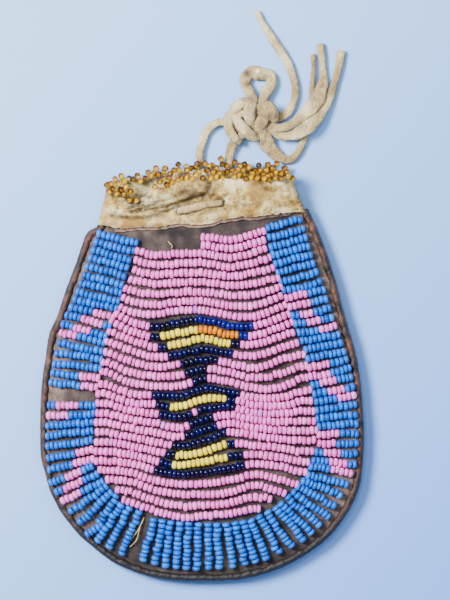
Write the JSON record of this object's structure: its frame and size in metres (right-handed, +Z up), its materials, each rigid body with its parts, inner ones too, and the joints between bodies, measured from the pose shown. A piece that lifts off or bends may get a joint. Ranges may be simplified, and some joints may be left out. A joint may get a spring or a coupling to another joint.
{
  "type": "beaded medicine bag",
  "caption": "Flat rounded hide pouch with a beaded front, bound edge, rawhide collar edged with amber beads, and a knotted leather thong at its mouth.",
  "frame": {"origin": "middle of the pouch at the table it lies on, without the free thong", "axes": "+Z up through the beaded front, +Y out of the mouth towards the thong, +X to the right seen from the front"},
  "size_m": [0.0842, 0.1487, 0.0119],
  "materials": {
    "hide": "dull brown tanned hide",
    "binding": "reddish brown rubbed hide",
    "rawhide": "cream rawhide, creased and stained",
    "thong": "soft cream buckskin, matt",
    "pink_bead": "opaque pink glass",
    "blue_bead": "opaque mid blue glass",
    "navy_bead": "dark navy glass, glossy",
    "royal_bead": "royal blue glass, glossy",
    "yellow_bead": "opaque greasy yellow glass",
    "orange_bead": "opaque orange glass",
    "amber_bead": "clear amber glass"
  },
  "bodies": {
    "root": {"back_panel": "hide", "front_panel": "hide", "collar_welt": "hide", "edge_binding": "binding", "mouth_collar": "rawhide", "drawstring_lacing": "thong", "thong_knot": "thong", "thong_leg_left": "thong", "thong_leg_right": "thong", "thong_eye": "thong", "thong_loop_tail": "thong", "thong_tail_long": "thong", "thong_tail_middle": "thong", "thong_tail_right": "thong", "pink_upper": "pink_bead", "pink_left": "pink_bead", "pink_right": "pink_bead", "pink_lower": "pink_bead", "pink_arm_left_upper": "pink_bead", "pink_arm_left_middle": "pink_bead", "pink_arm_left_lower": "pink_bead", "pink_arm_right_upper": "pink_bead", "pink_arm_right_middle": "pink_bead", "pink_arm_right_lower": "pink_bead", "blue_left_upper": "blue_bead", "blue_left_middle": "blue_bead", "blue_left_lower": "blue_bead", "blue_fan_left": "blue_bead", "blue_right_upper": "blue_bead", "blue_right_middle": "blue_bead", "blue_right_lower": "blue_bead", "blue_fan": "blue_bead", "navy_crown_left": "navy_bead", "navy_crown_right": "navy_bead", "navy_waist": "navy_bead", "navy_bar_left": "navy_bead", "navy_foot": "navy_bead", "navy_foot_left": "navy_bead", "navy_foot_right": "navy_bead", "navy_foot_base": "navy_bead", "royal_crown_right": "royal_bead", "yellow_crown": "yellow_bead", "yellow_bar": "yellow_bead", "yellow_foot": "yellow_bead", "orange_crown": "orange_bead", "amber_edging_front": "amber_bead", "amber_edging_back": "amber_bead"}
  },
  "joints": []
}
